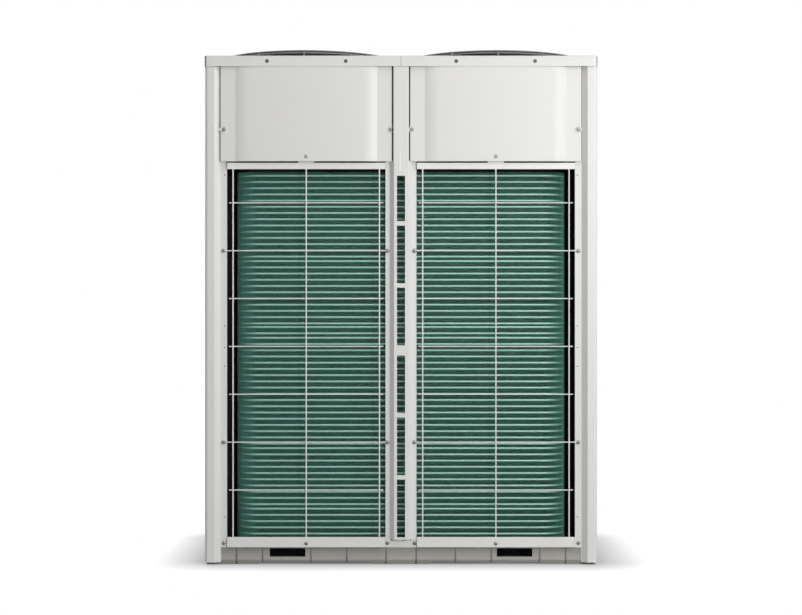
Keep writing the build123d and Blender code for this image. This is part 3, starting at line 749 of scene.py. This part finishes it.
def end_plate(side, bottom, top):
    """Folded plate over the end of one arm, from a lip on the arm's inner face out to the post's flange."""
    near, far = coil_high.x - coil_depth, end_plane - plate_sheet
    end = coil_high.y
    back = end - plate_sheet
    plan = [(near - plate_sheet, end), (near - plate_sheet, back - plate_lip), (near, back - plate_lip),
            (near, back), (far, back), (far, end)]
    return upright([(side * x, y) for x, y in plan[::side]], bottom, top)


for half in circuits:
    low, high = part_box(f"{half}_coil")
    plates = join([end_plate(side, low.z, high.z) for side in (-1, 1)])
    piece(f"{half}_end_plates", plates, galvanised)

# %% Corner seals of painted shade
shade_seal_front = [(0.5486, -0.2430), (0.5690, -0.2730), (0.5705, -0.2775), (0.5722, -0.2765), (0.6360, -0.3725)]
shade_seal_thick = 0.006
coil_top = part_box("upper_coil")[1].z


def corner_shade_seal(side):
    """Near-black foam strip from the coil's bend to the inside of the post: painted shade in the gap."""
    plan = shade_seal_front + [(x, y + shade_seal_thick) for x, y in (shade_seal_front[-1], shade_seal_front[0])]
    return upright([(side * x, y) for x, y in plan[::side]], coil_low.z, coil_top)


for name, side in (("left", -1), ("right", 1)):
    piece(f"rear_{name}_corner_shade_seal", corner_shade_seal(side), shade_and_seal_foam)

# %% Top edge strip of painted shadow
# A near-black strip where the top rail's shadow falls on the coil: painted shadow.
top_shade_strip_high, top_shade_strip_deep = 0.0175, 0.010
top_shade_strip_plan = np.concatenate([tube_path(-top_shade_strip_deep), tube_path(0.0)[::-1]])
top_shade_strip = upright(top_shade_strip_plan, coil_top - top_shade_strip_high, coil_top)
piece("top_edge_shade_strip", top_shade_strip, shade_and_seal_foam)

# %% Coil top plate
reach_x, reach_y = 0.6000, 0.3355
outer_plan = [(-reach_x, coil_high.y), (-reach_x, -reach_y), (reach_x, -reach_y), (reach_x, coil_high.y)]
top_plan = np.concatenate([outer_plan, tube_path(coil_depth)[::-1]])
top_plate = upright(top_plan, coil_top, coil_top + plate_sheet)
piece("coil_top_plate", top_plate, galvanised)

# %% [markdown]
# ## Wire guards over the coil
# Each bay has a guard of welded round wire: level wires behind, three uprights in front, and a folded rail
# at the top and bottom. The CAD guard has square wires to stay light, so a swept one takes its place. Two
# level wires run on to the posts, where their flattened ends sit under screws.

# %% Sizes of the guards
upright_radius, cross_radius = 2.3, 1.95
cross_out, upright_out = 2.3, 6.0
cross_first, cross_pitch, cross_count = 245.5, 157.2, 7
cross_levels = [cross_first + cross_pitch * step for step in range(cross_count)]
fixed_levels = (cross_levels[1], cross_levels[5])
upright_inset, upright_end, wire_tail, rail_end = 20.0, 6.0, 13.0, 1.5
wire_sides, pad_steps, pad_lift = 12, 20, 0.3
rail_bottom, rail_low_edge, rail_high_edge, rail_top = 58.0, 92.0, 1299.0, 1320.0
rail_back, rail_front, rail_fold = 7.7, 9.2, 0.9
rail_seat, rail_sheet = -1.2, 1.5
tab_half, tab_top = 26.0, 1342.0
pad_profile = [(0.5, 0.0), (5.5, 0.0), (5.5, 2.8), (4.6, 3.4), (0.5, 3.6)]


def folded_rail(edge, fold, start, end):
    """Angle rail from its folded edge to its free edge, with a bevelled fold."""
    step = 1 if edge > fold else -1
    profile = [
        (rail_seat, fold),
        (rail_front - rail_fold, fold),
        (rail_front, fold + step * rail_fold),
        (rail_front, edge),
        (rail_back, edge),
        (rail_back, fold + step * rail_sheet),
        (rail_seat, fold + step * rail_sheet),
    ]
    return strip(profile if step < 0 else profile[::-1], start, end)


print("level wires at", [round(level) for level in cross_levels])

# %% One wire guard
def lay(shape, place, level, out, rise=1.0):
    """Lay an upright lathe shape on its back against a side, flattened where its rise is under 1."""
    points, faces = shape
    return np.column_stack([points[:, 0] + place, points[:, 1] + level, points[:, 2] * rise + out]), faces


def wire_guard(low, high, low_pad, high_pad):
    """Wires, pads and rails of one bay in (along, up, outward) millimetres."""
    middle = (low + high) / 2
    uprights = (low + upright_inset, middle, high - upright_inset)
    shapes = []
    for place in uprights:
        line = [(place, level, upright_out) for level in (rail_bottom + upright_end, rail_top - upright_end)]
        shapes.append(sweep(line, upright_radius, (0, 0, 1), wire_sides))
    for level in cross_levels:
        start, end = uprights[0] - wire_tail, uprights[2] + wire_tail
        if level in fixed_levels:
            start, end = low_pad, high_pad
            pad = lathe(pad_profile, pad_steps)
            shapes += [lay(pad, place, level, pad_lift) for place in (low_pad, high_pad)]
        line = [(start, level, cross_out), (end, level, cross_out)]
        shapes.append(sweep(line, cross_radius, (0, 0, 1), wire_sides))
    shapes.append(folded_rail(rail_low_edge, rail_bottom, low + rail_end, high - rail_end))
    shapes.append(folded_rail(rail_high_edge, rail_top, low + rail_end, high - rail_end))
    tab = [(rail_back, rail_top - rail_sheet), (rail_front, rail_top - rail_sheet), (rail_front, tab_top),
           (rail_back, tab_top)]
    shapes.append(strip(tab[::-1], middle - tab_half, middle + tab_half))
    return join(shapes)


print("a guard has uprights, level wires, pads, rails and a tab")

# %% Guards of the four bays
bay_out, bay_in, side_bay = 571.5, 51.0, 307.0
post_pad, column_pad = 11.0, 6.75
bays = {
    "rear_left": ("rear", -bay_out, -bay_in, -bay_out - post_pad, -bay_in + column_pad),
    "rear_right": ("rear", bay_in, bay_out, bay_in - column_pad, bay_out + post_pad),
    "left": ("left", -side_bay, side_bay, -side_bay - post_pad, side_bay + post_pad),
    "right": ("right", -side_bay, side_bay, -side_bay - post_pad, side_bay + post_pad),
}
for name, (side, *span) in bays.items():
    side_piece(f"{name}_wires", side, [wire_guard(*span)], guard_coat, [f"{name}_wire_guard"])

# %% [markdown]
# ## Fan guards
# A fan guard is a drum of dark wire: close rings on top, welded to spokes that bend down outside the rim's
# two rings and stand on the cover. The CAD guard has a few flat rings, which is enough for collision. The
# real pitch is finer than a finger, so here the rings are round wire about a centimetre apart.

# %% Sizes of the fan guards
fan_x = cad_high.x / 2
cover_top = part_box("left_top_cover")[1].z
guard_radius, cap_radius = 0.3025, 0.064
ring_wire, spoke_wire, weld = 0.0020, 0.0024, 0.0005
ring_count, ring_steps, ring_sides = 22, 72, 10
ring_inner = 0.070
rim_levels = (0.0075, 0.0207)
spoke_count, spoke_bend, spoke_bend_steps, spoke_tuck = 12, 0.005, 6, 0.010
ring_level = cad_high.z - cover_top - ring_wire
spoke_level = ring_level - ring_wire - spoke_wire + weld
leg_radius = guard_radius + ring_wire + spoke_wire - weld
print("rings", round(ring_level, 4), "m and spokes", round(spoke_level, 4), "m above the cover")

# %% Rings and spokes
def ring(radius, level):
    """Level ring of wire."""
    turn = np.arange(ring_steps) * 2 * math.pi / ring_steps
    path = np.column_stack([radius * np.cos(turn), radius * np.sin(turn), np.full(ring_steps, level)])
    return sweep(path, ring_wire, (0, 0, 1), ring_sides, closed=True)


def spoke(angle):
    """Wire from under the middle plate to the rim, bent down to the cover."""
    way = np.array([math.cos(angle), math.sin(angle)])
    turns = np.linspace(0, math.pi / 2, spoke_bend_steps)
    bend_in, bend_low = leg_radius - spoke_bend, spoke_level - spoke_bend
    reach = [cap_radius - spoke_tuck, *(bend_in + spoke_bend * np.sin(turns)), leg_radius]
    rise = [spoke_level, *(bend_low + spoke_bend * np.cos(turns)), weld]
    return sweep(np.column_stack([np.outer(reach, way), rise]), spoke_wire, (-way[1], way[0], 0), ring_sides)


print("a guard has", ring_count, "rings on top,", len(rim_levels), "round the rim and", spoke_count, "spokes")

# %% Two fan guards
cap_under, cap_edge, cap_shoulder, cap_crown = -0.001, 0.0015, 0.003, 0.0034
cap_middle, cap_bevel, cap_steps = 0.002, 0.004, 48


def fan_grille():
    """Rings, bent spokes and middle plate of one guard, about its own axis and above the cover."""
    radii = np.linspace(ring_inner, guard_radius, ring_count)
    shapes = [ring(radius, ring_level) for radius in radii]
    shapes += [ring(guard_radius, level) for level in rim_levels]
    shapes += [spoke(step * 2 * math.pi / spoke_count + math.pi / 2) for step in range(spoke_count)]
    cap = [(cap_middle, cap_under), (cap_radius, cap_under), (cap_radius, cap_edge),
           (cap_radius - cap_bevel, cap_shoulder), (cap_middle, cap_crown)]
    shapes.append(lathe([(radius, spoke_level + rise) for radius, rise in cap], cap_steps))
    return join(shapes)


grille_points, grille_faces = fan_grille()
for hand, side in (("left", -1), ("right", 1)):
    placed = (grille_points + (side * fan_x, 0, cover_top), grille_faces)
    replaced = [f"{hand}_fan_guard", f"{hand}_guard_rim"]
    piece(f"{hand}_fan_grille", placed, dark_wire, replaced)

# %% [markdown]
# ## Bell mouths
# The ring round each fan is one moulding with a flared inlet below, a straight throat, a flange on the
# cover and a low collar above it, which is the black band under the guard's rim. It has flats in CAD. A
# lathe gives it the smooth mouth that shows through the guard.

# %% Bell mouths
throat, wall, flange, edge = 0.283, 0.003, 0.0095, 0.001
flare, flare_drop, collar_rise = 0.0198, 0.040, 0.0145
flare_turns = np.array([0.5, 0.9, 1.25, 1.5708])
lip_share, bell_steps = 0.9, 96


def bell_mouth(low, high):
    """Turned section of the moulding between its lowest and highest level, with its collar above."""
    lip, neck = high.z, low.z + flare_drop
    crest, seat = lip + collar_rise, lip - wall
    outside = throat + wall
    spread = flare * (1 - np.cos(flare_turns))
    inner = zip(throat + spread, neck - flare_drop * np.sin(flare_turns))
    outer = zip(outside + spread[-2::-1], neck - (flare_drop - wall) * np.sin(flare_turns[-2::-1]))
    profile = [(throat, crest - edge), (throat, neck), *inner]
    profile += [(throat + flare + wall * lip_share, low.z), *outer]
    profile += [(outside, neck), (outside, seat), (outside + flange, seat)]
    profile += [(outside + flange, lip - edge), (outside + flange - edge, lip), (outside, lip)]
    profile += [(outside, crest - edge), (outside - edge, crest), (throat + edge, crest)]
    return lathe(profile, bell_steps, closed=True)


for hand, side in (("left", -1), ("right", 1)):
    points, faces = bell_mouth(*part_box(f"{hand}_bell_mouth"))
    placed = (points + (side * fan_x, 0, 0), faces)
    piece(f"{hand}_bell_ring", placed, black_moulding, [f"{hand}_bell_mouth"])

# %% [markdown]
# ## Screws
# Every sheet is held by pan-head screws with a cross recess, on small pressed seats. One head is turned and
# its recess cut by a Boolean, and then it is copied by arrays to its places on all four sides. The covers
# are the widest part of the unit, so their heads are flat ones.

# %% Carving
def carved(shape, cutters):
    """Cut simple shapes out of another with Booleans and give back its points and faces."""
    def temporary(points, faces):
        mesh = bpy.data.meshes.new("carving")
        mesh.from_pydata(np.asarray(points).tolist(), [], faces)
        made = bpy.data.objects.new("carving", mesh)
        scene.collection.objects.link(made)
        return made

    body = temporary(*shape)
    tools = [temporary(*cutter) for cutter in cutters]
    for tool in tools:
        cut = body.modifiers.new("recess", "BOOLEAN")
        cut.object = tool
        cut.solver = "EXACT"
    result = body.evaluated_get(bpy.context.evaluated_depsgraph_get()).to_mesh()
    points = np.array([vertex.co[:] for vertex in result.vertices])
    faces = [list(polygon.vertices) for polygon in result.polygons]
    for made in (body, *tools):
        bpy.data.objects.remove(made)
    return points, faces


print("carved: a shape with others cut out of it")

# %% One screw
head_profile = [(6.3, -1.6), (6.4, 0.2), (6.1, 1.0), (5.2, 1.7), (3.2, 2.2), (0.3, 2.35)]
recess_width, recess_length, recess_depth, recess_clear = 1.3, 6.6, 1.5, 1.0
head_steps = 24


def recess_bar(length, width):
    """Bar of the cross recess, with the profile in (outward, up)."""
    crown = head_profile[-1][1]
    low, high = crown - recess_depth, crown + recess_clear
    profile = [(low, width / 2), (high, width / 2), (high, -width / 2), (low, -width / 2)]
    return strip(profile, -length / 2, length / 2)


flat_bar = recess_bar(recess_length, recess_width)
upright_bar = recess_bar(recess_width, recess_length)
screw = carved(lathe(head_profile, head_steps), [flat_bar, upright_bar])
print("screw head:", len(screw[1]), "faces")

# %% Places of the screws
cover_level, panel_level, crown_level, foot_level = 1652.0, 1429.0, 1340.0, 71.0
service_levels = (90.0, 690.0, 1290.0)
cover_spots, panel_spots, crown_spot, pad_spots = (439.0, 181.0), (581.5, 34.5), 311.0, (582.5, 44.25)
cover_out, panel_out, crown_out, rail_out, pad_out = 20.0, 10.0, 17.0, 9.2, 3.6
end_cover_spot, end_panel_spot, end_pad_spot = 190.0, 317.0, 318.0
end_cover_out, end_crown_out = 18.0, 15.0
flat_head = 0.06
rear_places = []
for hand in (-1, 1):
    rear_places += [(hand * spot, cover_level, cover_out, flat_head) for spot in cover_spots]
    rear_places += [(hand * spot, panel_level, panel_out) for spot in panel_spots]
    rear_places.append((hand * crown_spot, crown_level, crown_out))
front_places = list(rear_places)
for hand in (-1, 1):
    rear_places += [(hand * spot, level, pad_out) for spot in pad_spots for level in fixed_levels]
    rear_places += [(hand * spot, foot_level, 0.0) for spot in pad_spots]
    rear_places.append((hand * crown_spot, foot_level, rail_out))
    front_places += [(hand * spot, level, panel_out) for spot in panel_spots for level in service_levels]
side_places = [(hand * end_cover_spot, cover_level, end_cover_out, flat_head) for hand in (-1, 1)]
side_places += [(hand * end_panel_spot, panel_level, panel_out) for hand in (-1, 1)]
side_places += [(hand * end_pad_spot, level, pad_out) for hand in (-1, 1) for level in fixed_levels]
side_places += [(hand * end_pad_spot, foot_level, 0.0) for hand in (-1, 1)]
side_places += [(0.0, crown_level, end_crown_out), (0.0, foot_level, rail_out)]
screw_places = {"rear": rear_places, "front": front_places, "left": side_places, "right": side_places}
print("screws:", {side: len(places) for side, places in screw_places.items()})

# %% Screws on their places
for side, places in screw_places.items():
    flat_ones = [place for place in places if place[3:]]
    round_ones = [place for place in places if not place[3:]]
    heads = [lay(screw, *place) for place in round_ones]
    side_piece(f"{side}_screws", side, heads, plated_zinc)
    # The covers' flat heads get the darker copy of the screw metal: painted shade.
    flat_heads = [lay(screw, *place) for place in flat_ones]
    side_piece(f"{side}_cover_screws", side, flat_heads, shaded_zinc)

# %% [markdown]
# ## Pressed seats
# Round each screw the sheet is pressed into a shallow seat whose wall catches the light as a pale ring. It
# is a turned ring in the cabinet's own paint, high outside and falling to the screw, and almost flat on the
# covers.

# %% Pressed seats
seat_profile = [(6.7, -0.5), (12.2, -0.5), (12.0, 0.05), (10.6, 1.1), (9.4, 1.4), (6.7, -0.1)]
seat_levels = (cover_level, panel_level, crown_level)
flat_seat, seat_steps = 0.07, 32
seat = lathe(seat_profile, seat_steps, closed=True)
for side, places in screw_places.items():
    seats = [place for place in places if place[1] in seat_levels]
    rings = [lay(seat, *place[:3], flat_seat if place[3:] else 1.0) for place in seats]
    side_piece(f"{side}_screw_seats", side, rings, cabinet_paint)

# %% [markdown]
# ## Panel seals
# A near-black foam strip fills the groove between each upper panel and the post or the column beside it and
# shows as a thin dark line: painted shade for the shadow in the groove. Its section follows the slanted
# flank of the post or column. Another strip closes the slit between the panel and the guard or service
# panel below it, and a thin one the joint of the two covers. A small painted bridge crosses the groove at
# the screw on each panel's left edge.

# %% Panel seals
# Near-black strips in the grooves beside the panels: painted shade of the groove.
post_shade_seal = [(592.2, 0.3), (592.2, 1.6), (594.8, 1.6), (593.4, 0.3)]
column_shade_seal = [(30.2, 8.4), (30.2, 9.8), (26.4, 13.2), (26.4, 12.6)]
post_bridge = [(586.0, 10.1), (594.0, 10.1), (601.5, 8.2), (601.5, 7.4), (594.0, 9.3), (586.0, 9.3)]
column_bridge = [(29.2, 9.7), (34.5, 9.4), (34.5, 10.2), (29.6, 10.5), (26.0, 13.7), (25.6, 13.2)]
shade_seal_bottom, shade_seal_top = 1326.0, 1638.0
bridge_low, bridge_high = 1423.5, 1434.5
rail_seal = [(0.5, 1324.2), (7.0, 1324.2), (7.4, 1320.3), (0.5, 1320.3)]
joint_seal = [(-0.45, 17.0), (-0.45, 19.4), (0.45, 19.6), (0.45, 17.0)]
joint_bottom, joint_top = 1637.0, 1668.5
service_slits = [(-591.0, -31.0), (31.0, 591.0)]
rear_groove, end_groove = 592.0, 327.5


def groove_strip(section, hand, bottom, top, shift=0.0):
    """Extrude a section of (along, outward) points upright beside a panel, on either hand."""
    plan = [(hand * (along - shift), out) for along, out in section[::hand]]
    points, faces = upright(plan, bottom, top)
    return points[:, [0, 2, 1]], faces


print("grooves at", rear_groove, "mm on the broad sides and", end_groove, "mm on the ends")

# %% Seals and bridges of the four sides
for side in sides:
    broad = side in ("rear", "front")
    shift = 0.0 if broad else rear_groove - end_groove
    strips = [groove_strip(post_shade_seal, hand, shade_seal_bottom, shade_seal_top, shift) for hand in (-1, 1)]
    bridges = [groove_strip(post_bridge, -1, bridge_low, bridge_high, shift)]
    if broad:
        strips += [groove_strip(column_shade_seal, hand, shade_seal_bottom, shade_seal_top) for hand in (-1, 1)]
        strips.append(groove_strip(joint_seal, 1, joint_bottom, joint_top))
        bridges.append(groove_strip(column_bridge, 1, bridge_low, bridge_high))
    slits = [span[:2] for bay_side, *span in bays.values() if bay_side == side] or service_slits
    strips += [strip(rail_seal, low, high) for low, high in slits]
    side_piece(f"{side}_panel_shade_and_seals", side, strips, shade_and_seal_foam)
    side_piece(f"{side}_seal_bridges", side, bridges, cabinet_paint)

# %% [markdown]
# ## Small marks on the frame
# The posts' flanges have a line of tiny holes, the column's foot plate two notches, and the column's face a
# short pressed bead above the ladder. The holes and notches are small cups in near-black moulding, painted
# shade for their dark insides, because a CAD sheet keeps its mesh.

# %% Holes, notches and bead
hole_profile = [(0.2, -0.2), (1.9, -0.2), (1.9, 0.1), (1.5, 0.15), (0.2, 0.1)]
hole_levels = (1280.0, 785.0, 714.0, 652.0, 157.0)
hole_spot, hole_steps = 579.5, 16
notch_spot, notch_level = 32.0, 81.0
# Near-black cups: painted shade inside the holes and notches.
hole = lathe(hole_profile, hole_steps)
holes = [lay(hole, hand * hole_spot, level, 0.0) for hand in (-1, 1) for level in hole_levels]
holes += [lay(hole, hand * notch_spot, notch_level, 0.0) for hand in (-1, 1)]
side_piece("rear_flange_holes", "rear", holes, black_moulding)

bead_section = [(-6.2, 15.6), (-5.7, 16.9), (-4.4, 16.8), (-0.2, 16.1), (0.0, 15.6)]
bead_bottom, bead_top = 1296.0, 1358.0
bead = groove_strip(bead_section, 1, bead_bottom, bead_top)
side_piece("column_bead", "rear", [bead], cabinet_paint)
